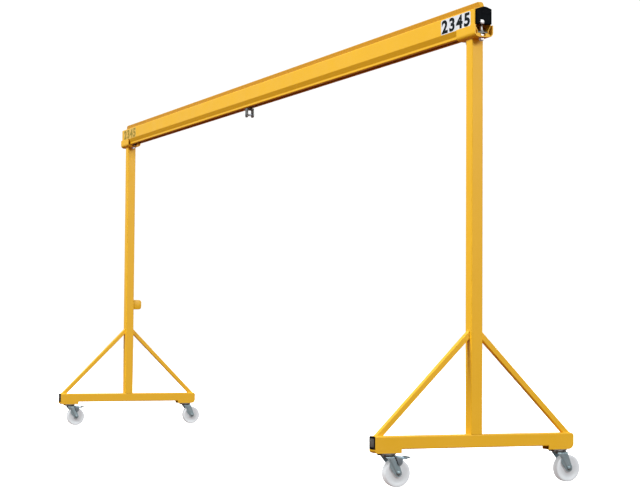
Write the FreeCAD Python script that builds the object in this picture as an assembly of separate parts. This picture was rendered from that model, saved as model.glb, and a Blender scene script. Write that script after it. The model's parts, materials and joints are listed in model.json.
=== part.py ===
import FreeCAD, Part
import math
import os

# Light gantry crane: a C-section rail on two wheeled A-legs, with a trolley inside the rail.
# X runs along the rail, Y along the base tubes, Z up from the floor. Millimetres.

# Overall sizes
leg_spacing = 6250.0
base_length = 1218.0
saddle_underside = 2419.0

# Steel tubes of the legs
tube_side = 70.0
tube_wall = 3.0
brace_side = 32.0
brace_wall = 2.0
brace_foot_inset = 35.0
brace_angle = 45.0
base_cap_lip = 2.5
back_end_radius = 32.0
back_top_radius = 16.0
corner_fill = 12.0
front_pad_radius = 20.0
base_cap_plug = 18.0
plug_gap = 0.3

# Saddle under each end of the rail
saddle_length = 212.0
saddle_plate = 6.0
saddle_side_height = 66.0
saddle_bend = 26.0
seat_height = 13.0
seat_length = 40.0
seat_width = 80.0
seat_gap_half_width = 16.0
saddle_bolt_offset = 75.0
saddle_bolt_size = 16.0
saddle_bolt_tail = 20.0
bolt_head_height = 8.0
nut_height = 12.0
washer_height = 2.5
hex_per_thread = 1.58
washer_per_hex = 1.3
saddle_gap = 0.3

# Rail section, heights measured from the underside of its flanges
rail_half_width = 50.0
rail_wall = 4.0
rail_lip_half_width = 35.0
rail_lip_height = 16.0
rail_bevel_top = 45.0
rail_shoulder = 136.0
rail_ridge = 145.5
rail_rib_half_width = 17.0
rail_rib_foot_half_width = 9.5
rail_rib_closed_length = 45.0
rail_rib_end_slope = 45.0
rail_height = 180.0
rail_slot_half_width = 16.0
rail_corner = 6.0
rail_overhang = 92.0

# Plastic cap on each end of the rail
cap_reach = 22.0
cap_low_edge = 50.0
cap_inset = 7.0
cap_plug = 20.0
cap_plug_gap = 0.3
cap_neck_half_width = 20.0
cap_neck_inset = 10.0
cap_neck_height = 40.0
cap_bolt_size = 12.0
cap_bolt_height = 61.0
cap_bolt_offset = -16.0
cap_bolt_head_height = 6.0

# Clamp plates and buffers inside the rail
clamp_length = 32.0
clamp_thickness = 8.0
stop_from_saddle = 84.0
stop_length = 30.0
stop_height = 60.0
buffer_length = 20.0
buffer_diameter = 40.0

# Casters
caster_inset = 84.0
caster_trail = 57.0
wheel_diameter = 150.0
wheel_width = 48.0
wheel_hub_diameter = 50.0
wheel_hub_length = 54.0
wheel_web = 40.0
wheel_rim = 20.0
wheel_top_gap = 11.7
wheel_edge_radius = 5.0
pad_inner_reach = 75.0
pad_thickness = 20.0
pad_wall = 3.0
plate_length = 88.0
plate_width = 70.0
plate_thickness = 5.0
race_diameter = 64.0
race_height = 9.0
crown_thickness = 4.0
crown_front = 17.0
crown_back = 50.0
cheek_front_shoulder = 6.0
cheek_back_shoulder = 12.0
cheek_waist_back = 14.0
cheek_waist_drop = 38.0
cheek_thickness = 3.5
cheek_gap = 1.0
cheek_foot_radius = 25.0
kingpin_diameter = 12.0
kingpin_nut_diameter = 22.0
kingpin_nut_height = 7.0
axle_diameter = 12.0
axle_head = 19.0
axle_head_height = 7.0
running_gap = 0.05
face_gap = 0.3

# Brake pedal on the two front casters, with an ear outside each cheek of the fork
pedal_pivot_back = 43.0
pedal_pivot_below_crown = 4.0
pedal_pin_diameter = 6.0
pedal_boss_diameter = 14.0
pedal_side_gap = 5.0
pedal_boss_gap = 0.3
pedal_ear_thickness = 3.0
pedal_tread_thickness = 3.0
pedal_ear_radius = 8.0
pedal_top = [(38.0, 2.0), (54.0, -5.0), (83.0, 1.0)]
pedal_tread_start = 20.0
pedal_arm_depth = 6.0
pedal_ear_foot = [(42.0, -11.0), (40.0, -38.0), (28.0, -50.0), (12.0, -40.0)]

# Trolley
trolley_rest_x = -256.0
trolley_half_length = 90.0
trolley_plate_half_width = 11.0
trolley_plate_top = 66.0
roller_diameter = 50.0
roller_width = 12.0
roller_spacing = 120.0
roller_axle_diameter = 10.0
roller_inset = 2.5
hanger_length = 40.0
hanger_drop = 71.0
hanger_half_width = 27.0
hanger_cheek = 9.0
hanger_bridge = 12.0
hanger_clearance = 6.0
hanger_pin_diameter = 16.0
hanger_pin_edge = 18.0
hanger_pin_head = 5.0
stem_length = 30.0

# Cable cleat on the back of the left column
cleat_height = 1000.0
cleat_tall = 83.0
cleat_out = 70.0
cleat_width = 52.0
cleat_wall = 4.0

# Heights and places that follow from the sizes above
crown_underside = wheel_diameter + wheel_top_gap
crown_top = crown_underside + crown_thickness
race_underside = crown_top + face_gap
pad_underside = race_underside + race_height + plate_thickness
base_underside = pad_underside + pad_thickness
base_top = base_underside + tube_side
rail_bottom = saddle_underside + saddle_plate + seat_height
rail_half_length = leg_spacing / 2 + rail_overhang
caster_pivot_y = base_length / 2 - caster_inset
wheel_radius = wheel_diameter / 2
cheek_inner = wheel_hub_length / 2 + cheek_gap
cheek_outer = cheek_inner + cheek_thickness
saddle_half_width = rail_half_width + saddle_gap + saddle_plate
flange_top = rail_bottom + rail_wall
cap_bottom = rail_bottom + cap_low_edge
cap_face = rail_half_length + cap_reach
pedal_pivot_z = crown_top - pedal_pivot_below_crown
pedal_ear_inner = cheek_outer + pedal_side_gap
pedal_ear_outer = pedal_ear_inner + pedal_ear_thickness

sides = {"right": 1, "left": -1}
ends = {"front": -1, "back": 1}


def box(x, y, z):
    """Block between the low and high values given for each axis."""
    corner = FreeCAD.Vector(x[0], y[0], z[0])
    return Part.makeBox(x[1] - x[0], y[1] - y[0], z[1] - z[0], corner)


def rod(diameter, start, end):
    """Round bar between two points."""
    start = FreeCAD.Vector(*start)
    run = FreeCAD.Vector(*end) - start
    return Part.makeCylinder(diameter / 2, run.Length, start, run)


def hexagon(across_flats, start, end):
    """Six-sided bar between two points, with a flat facing up or sideways."""
    start = FreeCAD.Vector(*start)
    run = FreeCAD.Vector(*end) - start
    turn = FreeCAD.Rotation(FreeCAD.Vector(0, 0, 1), run)
    radius = across_flats / 2 / math.cos(math.radians(30))
    points = []
    for step in range(7):
        angle = math.radians(60 * step)
        corner = FreeCAD.Vector(radius * math.cos(angle), radius * math.sin(angle), 0)
        points.append(start + turn.multVec(corner))
    return Part.Face(Part.makePolygon(points)).extrude(run)


def prism_along_x(outline, low, high):
    """Solid whose (y, z) outline is swept from x = low to x = high."""
    points = [FreeCAD.Vector(low, y, z) for y, z in outline]
    wire = Part.makePolygon(points + points[:1])
    return Part.Face(wire).extrude(FreeCAD.Vector(high - low, 0, 0))


def mirrored(half):
    """Closed outline from its +Y half, listed from the bottom up."""
    return half + [(-y, z) for y, z in reversed(half)]


def rounded_along_x(solid, radius, keep=lambda edge: True):
    """Rounds the edges that run along X."""
    chosen = []
    for edge in solid.Edges:
        run = edge.Vertexes[0].Point - edge.Vertexes[-1].Point
        if abs(run.x) > 0.999 * run.Length and keep(edge):
            chosen.append(edge)
    return solid.makeFillet(radius, chosen)


def tube(low, high, axis, wall):
    """Box tube along one axis, between two corner points, open at both ends."""
    outer = box(*zip(low, high))
    cross = [a for a in range(3) if a != axis]
    inner_low = [low[a] - 1 if a == axis else low[a] + wall for a in range(3)]
    inner_high = [high[a] + 1 if a == axis else high[a] - wall for a in range(3)]
    inner = box(*zip(inner_low, inner_high))
    long_edges = []
    for edge in outer.Edges:
        run = edge.Vertexes[0].Point - edge.Vertexes[-1].Point
        if abs(run[cross[0]]) < 0.01 and abs(run[cross[1]]) < 0.01:
            long_edges.append(edge)
    return outer.makeFillet(2 * wall, long_edges).cut(inner)


def save(name, shape):
    """Writes one node and prints its size."""
    shape = shape.removeSplitter()
    shape.exportStep(f"parts/{name}.step")
    print(f"{name}: {len(shape.Solids)} solid(s), {shape.Volume / 1000:.1f} cm3")


def rail_outline():
    half = [
        (rail_lip_half_width, 0),
        (rail_lip_half_width, rail_lip_height),
        (rail_half_width, rail_bevel_top),
        (rail_half_width, rail_shoulder),
        (rail_rib_foot_half_width, rail_ridge),
        (rail_rib_half_width, rail_height),
    ]
    return mirrored([(y, z + rail_bottom) for y, z in half])


def rail_envelope(low, high):
    """The rail's outer form as a solid bar."""
    return rounded_along_x(prism_along_x(rail_outline(), low, high), rail_corner)


def rail_cavity(low, high):
    """The space inside the rail, one wall in from its outer form."""
    points = [FreeCAD.Vector(low, y, z) for y, z in rail_outline()]
    wire = Part.makePolygon(points + points[:1])
    inner = wire.makeOffset2D(-rail_wall, join=2)
    solid = Part.Face(inner).extrude(FreeCAD.Vector(high - low, 0, 0))
    return rounded_along_x(solid, rail_corner - rail_wall)


def make_rail():
    """Rail with its slot below; the rib on top is closed and cut to a slope at each end."""
    end = rail_half_length
    rail = rail_envelope(-end, end).cut(rail_cavity(-end - 1, end + 1))
    rib_foot = rail_bottom + rail_ridge
    top = rail_bottom + rail_height
    for low, high in ((-end, -end + rail_rib_closed_length), (end - rail_rib_closed_length, end)):
        window = box((low, high), (-rail_half_width, rail_half_width), (rib_foot - rail_wall, top + 1))
        rail = rail.fuse(rail_envelope(low, high).common(window))
    run = (top - rib_foot) / math.tan(math.radians(rail_rib_end_slope))
    for sign in sides.values():
        corners = [
            (end + 1, rib_foot),
            (end, rib_foot),
            (end - run, top),
            (end - run, top + 1),
            (end + 1, top + 1),
        ]
        points = [FreeCAD.Vector(sign * x, -rail_half_width, z) for x, z in corners]
        wedge = Part.Face(Part.makePolygon(points + points[:1]))
        rail = rail.cut(wedge.extrude(FreeCAD.Vector(0, 2 * rail_half_width, 0)))
    slot = box(
        (-end - 1, end + 1),
        (-rail_slot_half_width, rail_slot_half_width),
        (rail_bottom - 1, rail_bottom + rail_wall + 1),
    )
    save("rail_beam", rail.cut(slot))


def make_rail_end(side, sign):
    """End cap and travel stop of one end of the rail."""
    end = rail_half_length
    half = rail_half_width - cap_inset
    window = box((0, end * 2), (-half, half), (cap_bottom, rail_bottom + rail_ridge))
    flange = rail_envelope(end + face_gap, cap_face).common(window)
    roof = rail_bottom + rail_ridge - rail_wall
    inside = box((0, end * 2), (-half, half), (cap_bottom, roof))
    plug = rail_cavity(end - cap_plug, end + face_gap).common(inside)
    plug = plug.makeOffsetShape(-cap_plug_gap, 0.01, join=2)
    neck = box(
        (end - 1, end + 1),
        (-cap_neck_half_width, cap_neck_half_width),
        (cap_bottom + cap_neck_inset, cap_bottom + cap_neck_inset + cap_neck_height),
    )
    cap = flange.fuse([plug, neck])
    y = cap_bolt_offset
    z = rail_bottom + cap_bolt_height
    cap = cap.cut(rod(cap_bolt_size, (end - cap_plug - 1, y, z), (cap_face + 1, y, z)))
    save(f"rail_end_cap_{side}", placed(cap, sign))
    stop_start = leg_spacing / 2 - saddle_length / 2 - stop_from_saddle
    half = rail_lip_half_width - rail_corner
    stop_end = stop_start + stop_length
    block = box((stop_start, stop_end), (-half, half), (flange_top, flange_top + stop_height))
    middle = flange_top + stop_height / 2
    rubber = rod(buffer_diameter, (stop_start, 0, middle), (stop_start - buffer_length, 0, middle))
    save(f"rail_stop_{side}", placed(block.fuse(rubber), sign))


def placed(shape, sign):
    """Turns what was made for the right leg round to the left leg."""
    if sign > 0:
        return shape
    return shape.mirror(FreeCAD.Vector(0, 0, 0), FreeCAD.Vector(1, 0, 0))


def saddle_outline(inset):
    """U outline of the saddle, its walls moved in by inset."""
    half = saddle_half_width - inset
    low = saddle_underside + inset
    high = saddle_underside + saddle_side_height
    return [(half, low), (half, high), (-half, high), (-half, low)]


def saddle_solid(inset, low, high):
    solid = prism_along_x(saddle_outline(inset), low, high)
    middle = saddle_underside + saddle_side_height / 2
    return rounded_along_x(solid, saddle_bend - inset, lambda e: e.CenterOfMass.z < middle)


def make_saddle(side, sign):
    """Saddle with the seats under the rail's flanges, and the bolts of this end of the rail."""
    middle = leg_spacing / 2
    low, high = middle - saddle_length / 2, middle + saddle_length / 2
    saddle = saddle_solid(0, low, high).cut(saddle_solid(saddle_plate, low - 1, high + 1))
    inside = saddle_solid(saddle_plate, low, high)
    gap = box(
        (low, high),
        (-seat_gap_half_width, seat_gap_half_width),
        (saddle_underside + saddle_plate, rail_bottom + 1),
    )
    bolts = [cap_bolt()]
    for offset in (-saddle_bolt_offset, saddle_bolt_offset):
        x = middle + offset
        seat = box(
            (x - seat_length / 2, x + seat_length / 2),
            (-seat_width / 2, seat_width / 2),
            (saddle_underside, rail_bottom),
        )
        hole = rod(saddle_bolt_size + 1, (x, 0, saddle_underside - 1), (x, 0, rail_bottom + 1))
        saddle = saddle.fuse(seat.common(inside).cut(gap)).cut(hole)
        bolts.append(saddle_bolt(x))
    save(f"saddle_{side}", placed(saddle, sign))
    save(f"rail_bolts_{side}", placed(Part.makeCompound(bolts), sign))


def saddle_bolt(x):
    """Bolt with its clamp plate inside the rail and its nut under the saddle."""
    half = rail_lip_half_width - rail_corner
    plate_top = flange_top + clamp_thickness
    across = saddle_bolt_size * hex_per_thread
    washer_bottom = saddle_underside - washer_height
    bolt = rod(saddle_bolt_size, (x, 0, saddle_underside - saddle_bolt_tail), (x, 0, plate_top))
    plate = box((x - clamp_length / 2, x + clamp_length / 2), (-half, half), (flange_top, plate_top))
    washer = rod(across * washer_per_hex, (x, 0, washer_bottom), (x, 0, saddle_underside))
    nut = hexagon(across, (x, 0, washer_bottom - nut_height), (x, 0, washer_bottom))
    top = hexagon(across, (x, 0, plate_top), (x, 0, plate_top + bolt_head_height))
    return bolt.fuse([plate, washer, nut, top])


def cap_bolt():
    """Bolt through the rail's end cap, with its nut behind the plug."""
    y = cap_bolt_offset
    z = rail_bottom + cap_bolt_height
    across = cap_bolt_size * hex_per_thread
    start = rail_half_length - cap_plug + cap_plug_gap
    head_end = cap_face + cap_bolt_head_height
    shank = rod(cap_bolt_size, (start - cap_bolt_size, y, z), (cap_face, y, z))
    head = hexagon(across, (cap_face, y, z), (head_end, y, z))
    nut = hexagon(across, (start - cap_bolt_size, y, z), (start, y, z))
    return shank.fuse([head, nut])


def make_leg(side, sign):
    """Column, base tube, braces and base tube caps of one leg."""
    middle = leg_spacing / 2
    half = tube_side / 2
    column = tube(
        (middle - half, -half, base_top),
        (middle + half, half, saddle_underside + saddle_bend),
        2, tube_wall,
    )
    saddle = saddle_solid(0, middle - tube_side, middle + tube_side)
    above = box((middle - tube_side, middle + tube_side), (-tube_side, tube_side),
                (saddle_underside + saddle_bend, saddle_underside + 2 * saddle_bend))
    save(f"column_{side}", placed(column.cut(saddle).cut(above), sign))
    tube_half_length = base_length / 2 - base_cap_lip
    long_base = tube(
        (middle - half, -tube_half_length, base_underside),
        (middle + half, base_length, base_top),
        1, tube_wall,
    )
    back = box(
        (middle - half, middle + half),
        (base_length / 2 - tube_wall, base_length),
        (base_underside, base_top),
    )
    base = long_base.fuse(back).common(base_envelope(middle))
    inside = half - tube_wall / 2
    for low in (base_underside, base_top - corner_fill):
        corner = box(
            (middle - inside, middle + inside),
            (base_length / 2 - back_top_radius, base_length / 2 - tube_wall),
            (low, low + corner_fill),
        )
        base = base.fuse(corner.common(base_envelope(middle)))
    save(f"base_tube_{side}", placed(base, sign))
    cap = box((middle - half, middle + half), (0, base_cap_lip), (base_underside, base_top))
    edges = [e for e in cap.Edges if abs(e.tangentAt(e.FirstParameter).y) > 0.9]
    cap = cap.makeFillet(2 * tube_wall, edges)
    inside = half - tube_wall - plug_gap
    plug = box((middle - inside, middle + inside), (base_cap_lip - 1, base_cap_lip + base_cap_plug),
               (base_underside + half - inside, base_underside + half + inside))
    cap = cap.fuse(plug)
    cap.translate(FreeCAD.Vector(0, -base_length / 2, 0))
    save(f"base_cap_{side}", placed(cap, sign))
    for end_name, end in ends.items():
        save(f"brace_{side}_{end_name}", placed(make_brace(end), sign))


def make_brace(end):
    """Square tube from the base tube up to the column, cut flush at both."""
    middle = leg_spacing / 2
    half = brace_side / 2
    foot_y = base_length / 2 - brace_foot_inset
    run = (foot_y - tube_side / 2) + 4 * brace_side
    rise = math.tan(math.radians(brace_angle))
    length = run / math.cos(math.radians(brace_angle)) + 4 * brace_side
    bar = tube(
        (middle - half, -2 * brace_side, -half),
        (middle + half, length, half),
        1, brace_wall,
    )
    bar.rotate(FreeCAD.Vector(0, 0, 0), FreeCAD.Vector(1, 0, 0), -brace_angle)
    top = base_top + (foot_y - tube_side / 2) * rise
    bar.translate(FreeCAD.Vector(0, tube_side / 2, top))
    window = box(
        (middle - half - 1, middle + half + 1),
        (tube_side / 2, base_length),
        (base_top, top + 4 * brace_side),
    )
    bar = bar.common(window)
    if end < 0:
        bar = bar.mirror(FreeCAD.Vector(0, 0, 0), FreeCAD.Vector(0, 1, 0))
    return bar


def base_envelope(middle):
    """Outer form of the base tube and its pads together, with their rounded ends."""
    low = (middle - tube_side, -base_length / 2, pad_underside)
    high = (middle + tube_side, base_length / 2, base_top)
    solid = box(*zip(low, high))
    corners = (
        (base_length / 2, pad_underside, back_end_radius),
        (base_length / 2, base_top, back_top_radius),
        (-base_length / 2, pad_underside, front_pad_radius),
    )
    for y, z, radius in corners:
        edge = next(
            e for e in solid.Edges
            if abs(e.CenterOfMass.y - y) < 0.1 and abs(e.CenterOfMass.z - z) < 0.1
        )
        solid = solid.makeFillet(radius, [edge])
    return solid


def make_pads(side, sign):
    """Flat boxes between the base tube and its casters, each open at its inner end."""
    middle = leg_spacing / 2
    half = tube_side / 2
    pads = []
    for end, radius in ((-1, front_pad_radius), (1, back_end_radius)):
        inner = end * (caster_pivot_y - pad_inner_reach)
        outer = end * base_length / 2
        closed = outer - end * radius
        pad = box(
            (middle - half, middle + half),
            (min(inner, outer), max(inner, outer)),
            (pad_underside, base_underside),
        )
        hollow = box(
            (middle - half + pad_wall, middle + half - pad_wall),
            (min(inner - end, closed), max(inner - end, closed)),
            (pad_underside + pad_wall, base_underside - pad_wall),
        )
        pads.append(pad.common(base_envelope(middle)).cut(hollow))
    save(f"caster_pads_{side}", placed(Part.makeCompound(pads), sign))


def make_caster(side, sign, end_name, end):
    """Top plate, fork, wheel and axle of one caster; the wheel trails to the back."""
    name = f"{side}_{end_name}"
    x = sign * leg_spacing / 2
    y = end * caster_pivot_y
    nut_top = crown_underside - face_gap
    nut_bottom = nut_top - kingpin_nut_height
    plate = box(
        (x - plate_width / 2, x + plate_width / 2),
        (y - plate_length / 2, y + plate_length / 2),
        (pad_underside - plate_thickness, pad_underside),
    )
    race = rod(race_diameter, (x, y, race_underside), (x, y, pad_underside))
    kingpin = rod(kingpin_diameter, (x, y, nut_bottom), (x, y, pad_underside))
    nut = hexagon(kingpin_nut_diameter, (x, y, nut_bottom), (x, y, nut_top))
    save(f"caster_plate_{name}", plate.fuse([race, kingpin, nut]))

    axle_y = y + caster_trail
    pedal_y = y + pedal_pivot_back if end_name == "front" else None
    save(f"caster_fork_{name}", make_fork(x, y, axle_y, pedal_y))
    save(f"caster_axle_{name}", make_axle(x, axle_y))
    save(f"caster_wheel_{name}", make_wheel(x, axle_y))
    if pedal_y is not None:
        save(f"caster_pedal_{name}", make_pedal(x, pedal_y))


def make_fork(x, y, axle_y, pedal_y=None):
    """Crown plate and two cheeks, bored for the kingpin, the axle and the pedal's pin."""
    fork = box(
        (x - cheek_outer, x + cheek_outer),
        (y - crown_front, y + crown_back),
        (crown_underside, crown_top),
    )
    for low in (x - cheek_outer, x + cheek_inner):
        fork = fork.fuse(make_cheek(low, low + cheek_thickness, y, axle_y))
    left, right = x - cheek_outer - 1, x + cheek_outer + 1
    if pedal_y is not None:
        z = pedal_pivot_z
        fork = fork.cut(rod(pedal_pin_diameter, (left, pedal_y, z), (right, pedal_y, z)))
    bore = kingpin_diameter + 2 * running_gap
    fork = fork.cut(rod(bore, (x, y, crown_underside - 1), (x, y, crown_top + 1)))
    hole = axle_diameter + 2 * running_gap
    return fork.cut(rod(hole, (left, axle_y, wheel_radius), (right, axle_y, wheel_radius)))


def make_cheek(low, high, y, axle_y):
    """Cheek that narrows from the crown down to a round foot at the axle."""
    foot = rod(2 * cheek_foot_radius, (low, axle_y, wheel_radius), (high, axle_y, wheel_radius))
    front = (y - crown_front, crown_top - cheek_front_shoulder)
    waist = (y + cheek_waist_back, crown_top - cheek_waist_drop)
    back = (y + crown_back, crown_top - cheek_back_shoulder)
    centre = (axle_y, wheel_radius)
    outline = [
        (y - crown_front, crown_top),
        front,
        waist,
        tangent_point(waist, centre, -1),
        centre,
        tangent_point(back, centre, 1),
        back,
        (y + crown_back, crown_top),
    ]
    return prism_along_x(outline, low, high).fuse(foot)


def tangent_point(start, centre, turn):
    """Point where a line from start touches the foot's circle; turn picks the side."""
    dy, dz = start[0] - centre[0], start[1] - centre[1]
    distance = math.hypot(dy, dz)
    radius = cheek_foot_radius
    angle = math.atan2(dz, dy) - turn * math.acos(radius / distance)
    return centre[0] + radius * math.cos(angle), centre[1] + radius * math.sin(angle)


def make_axle(x, y):
    z = wheel_radius
    shank = rod(axle_diameter, (x - cheek_outer, y, z), (x + cheek_outer, y, z))
    heads = []
    for sign in (-1, 1):
        start = (x + sign * cheek_outer, y, z)
        heads.append(hexagon(axle_head, start, (start[0] + sign * axle_head_height, y, z)))
    return shank.fuse(heads)


def make_wheel(x, y):
    z = wheel_radius
    half = wheel_width / 2
    wheel = rod(wheel_diameter, (x - half, y, z), (x + half, y, z))
    rims = [e for e in wheel.Edges if e.Length > 3 * wheel_radius and len(e.Vertexes) == 1]
    wheel = wheel.makeFillet(wheel_edge_radius, rims)
    hollow = wheel_diameter - 2 * wheel_rim
    for sign in (-1, 1):
        web = x + sign * wheel_web / 2
        wheel = wheel.cut(rod(hollow, (web, y, z), (web + sign * wheel_width, y, z)))
    half_hub = wheel_hub_length / 2
    wheel = wheel.fuse(rod(wheel_hub_diameter, (x - half_hub, y, z), (x + half_hub, y, z)))
    bore = axle_diameter + 2 * running_gap
    return wheel.cut(rod(bore, (x - half_hub - 1, y, z), (x + half_hub + 1, y, z)))


def make_pedal(x, y):
    """Pedal whose two ears turn on bosses outside the cheeks of the fork."""
    z = pedal_pivot_z
    top = [(y + along, z + rise) for along, rise in pedal_top]
    tip_y, tip_z = top[-1]
    foot = [(y + along, z + rise) for along, rise in pedal_ear_foot]
    ear = [
        (y, z + pedal_ear_radius),
        *top,
        (tip_y, tip_z - pedal_arm_depth),
        (top[1][0], top[1][1] - pedal_arm_depth),
        *foot,
        (y, z - pedal_ear_radius),
    ]
    share = pedal_tread_start / pedal_top[0][0]
    start_z = z + pedal_ear_radius + share * (pedal_top[0][1] - pedal_ear_radius)
    upper = [(y + pedal_tread_start, start_z), *top]
    tread = upper + [(along, rise - pedal_tread_thickness) for along, rise in reversed(upper)]
    pieces = []
    for side in sides.values():
        inner, outer = x + side * pedal_ear_inner, x + side * pedal_ear_outer
        boss = x + side * (cheek_outer + pedal_boss_gap)
        low, high = min(inner, outer), max(inner, outer)
        pieces.append(prism_along_x(ear, low, high))
        pieces.append(rod(2 * pedal_ear_radius, (low, y, z), (high, y, z)))
        pieces.append(rod(pedal_boss_diameter, (boss, y, z), (outer, y, z)))
    pedal = prism_along_x(tread, x - pedal_ear_outer, x + pedal_ear_outer).fuse(pieces)
    bore = pedal_pin_diameter + 2 * running_gap
    return pedal.cut(rod(bore, (x - pedal_ear_outer - 1, y, z), (x + pedal_ear_outer + 1, y, z)))


def make_pedal_pins():
    """Pins that carry the pedals, held in the cheeks of the front forks."""
    z = pedal_pivot_z
    y = -caster_pivot_y + pedal_pivot_back
    for side, sign in sides.items():
        x = sign * leg_spacing / 2
        pin = rod(pedal_pin_diameter, (x - pedal_ear_outer, y, z), (x + pedal_ear_outer, y, z))
        save(f"pedal_pin_{side}", pin)


def make_trolley():
    x = trolley_rest_x
    axle_z = flange_top + face_gap + roller_diameter / 2
    plate = box(
        (x - trolley_half_length, x + trolley_half_length),
        (-trolley_plate_half_width, trolley_plate_half_width),
        (flange_top + face_gap, flange_top + trolley_plate_top),
    )
    roller_outer = rail_lip_half_width - rail_wall - roller_inset
    roller_inner = roller_outer - roller_width
    rollers = []
    for offset in (-roller_spacing / 2, roller_spacing / 2):
        centre = x + offset
        plate = plate.fuse(rod(
            roller_axle_diameter, (centre, -roller_outer, axle_z), (centre, roller_outer, axle_z)))
        for sign in (-1, 1):
            low, high = (centre, sign * roller_inner, axle_z), (centre, sign * roller_outer, axle_z)
            ring = rod(roller_diameter, low, high)
            bore = rod(
                roller_axle_diameter + 2 * running_gap,
                (centre, sign * (roller_inner - 1), axle_z),
                (centre, sign * (roller_outer + 1), axle_z),
            )
            rollers.append(ring.cut(bore))
    stem = box(
        (x - stem_length / 2, x + stem_length / 2),
        (-trolley_plate_half_width, trolley_plate_half_width),
        (rail_bottom - hanger_clearance, flange_top + face_gap),
    )
    save("trolley_carriage", plate.fuse(stem))
    save("trolley_rollers", Part.makeCompound(rollers))
    save("trolley_hanger", make_hanger(x))


def make_hanger(x):
    """Downward fork with a cross pin, under the trolley's stem."""
    top = rail_bottom - hanger_clearance
    bottom = rail_bottom - hanger_drop
    inner = hanger_half_width - hanger_cheek
    length = (x - hanger_length / 2, x + hanger_length / 2)
    hanger = box(length, (-hanger_half_width, hanger_half_width), (bottom, top))
    gap = box(
        (length[0] - 1, length[1] + 1),
        (-inner, inner),
        (bottom - 1, top - hanger_bridge),
    )
    hanger = hanger.cut(gap)
    edges = [e for e in hanger.Edges if abs(e.CenterOfMass.z - bottom) < 0.1
             and abs(e.tangentAt(e.FirstParameter).y) > 0.9]
    hanger = hanger.makeFillet(hanger_length / 3, edges)
    pin_z = bottom + hanger_pin_edge
    reach = hanger_half_width + hanger_pin_head
    pin = rod(hanger_pin_diameter, (x, -reach, pin_z), (x, reach, pin_z))
    return hanger.fuse(pin)


def make_cleat():
    """Open box of folded plate on the back of the left column."""
    x = -leg_spacing / 2
    start = tube_side / 2
    low = (x - cleat_width / 2, start, cleat_height)
    high = (x + cleat_width / 2, start + cleat_out, cleat_height + cleat_tall)
    shell = box(*zip(low, high))
    edges = [e for e in shell.Edges if abs(e.CenterOfMass.y - high[1]) < 0.1
             and abs(e.tangentAt(e.FirstParameter).z) > 0.9]
    shell = shell.makeFillet(3 * cleat_wall, edges)
    hollow = box(
        (low[0] + cleat_wall, high[0] - cleat_wall),
        (start - 1, high[1] - cleat_wall),
        (low[2] - 1, high[2] + 1),
    )
    save("cable_cleat", shell.cut(hollow))


os.makedirs("parts", exist_ok=True)
make_rail()
for side, sign in sides.items():
    make_rail_end(side, sign)
    make_saddle(side, sign)
    make_leg(side, sign)
    make_pads(side, sign)
    for end_name, end in ends.items():
        make_caster(side, sign, end_name, end)
make_pedal_pins()
make_trolley()
make_cleat()
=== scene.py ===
import json
import math

import bmesh
import bpy
from mathutils import Matrix, Vector


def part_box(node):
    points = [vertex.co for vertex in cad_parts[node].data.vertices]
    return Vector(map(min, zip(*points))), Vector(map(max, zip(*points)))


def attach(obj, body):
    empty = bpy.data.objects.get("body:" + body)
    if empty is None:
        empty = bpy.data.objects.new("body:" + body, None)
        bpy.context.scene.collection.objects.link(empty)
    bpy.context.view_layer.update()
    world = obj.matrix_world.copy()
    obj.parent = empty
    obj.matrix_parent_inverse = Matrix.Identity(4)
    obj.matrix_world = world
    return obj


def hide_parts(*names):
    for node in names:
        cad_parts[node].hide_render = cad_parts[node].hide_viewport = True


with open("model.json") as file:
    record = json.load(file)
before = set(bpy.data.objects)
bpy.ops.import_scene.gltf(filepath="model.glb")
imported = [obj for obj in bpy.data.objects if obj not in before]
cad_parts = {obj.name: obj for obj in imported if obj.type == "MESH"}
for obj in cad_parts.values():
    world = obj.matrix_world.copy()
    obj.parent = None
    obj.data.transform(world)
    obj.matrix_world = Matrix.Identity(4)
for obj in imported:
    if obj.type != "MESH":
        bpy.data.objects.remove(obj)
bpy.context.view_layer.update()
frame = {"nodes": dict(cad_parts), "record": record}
nodes = frame["nodes"]
sides = {"right": 1, "left": -1}
ends = {"front": -1, "back": 1}
print("frame loaded:", len(nodes), "nodes")


# camera, light and floor

cameraSetup = {
    "place": (11.371, -4.526, 0.822),
    "azimuth": 66.353,
    "pitch": 2.8715,
    "roll": 0.384,
    "lens": 97.02,
}

lightSetup = {
    "key": {"place": (1.2, -16.6, 18.7), "aim": (0.0, 0, 1.4), "size": 9.0, "power": 5900},
    "side": {"place": (25.0, 7.6, 10.4), "aim": (0.0, 0, 1.4), "size": 9.0, "power": 3280},
    "back": {"place": (-9.0, 17.5, 9.5), "aim": (0.0, 0, 1.4), "size": 9.0, "power": 2600},
    "skyStrength": 0.5,
    "backdropStrength": 1.05,
    "floorSize": 60, "floorSeen": (0.95, 0.95, 0.95), "floorGlow": 0.85, "floorTone": (0.15, 0.056, 0.034),
}


def addCamera(setup):
    azimuth, pitch, roll = (math.radians(setup[k]) for k in ("azimuth", "pitch", "roll"))
    flat = math.cos(pitch)
    ahead = Vector((-math.sin(azimuth) * flat, math.cos(azimuth) * flat, math.sin(pitch)))
    right = Vector((math.cos(azimuth), math.sin(azimuth), 0))
    up = right.cross(ahead)
    turnedRight = right * math.cos(roll) + up * math.sin(roll)
    turnedUp = up * math.cos(roll) - right * math.sin(roll)
    camera = bpy.data.objects.new("camera", bpy.data.cameras.new("camera"))
    camera.data.lens = setup["lens"]
    camera.data.clip_end = 200
    turn = Matrix((turnedRight, turnedUp, -ahead)).transposed().to_4x4()
    camera.matrix_world = Matrix.Translation(setup["place"]) @ turn
    bpy.context.scene.collection.objects.link(camera)
    bpy.context.scene.camera = camera


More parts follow.
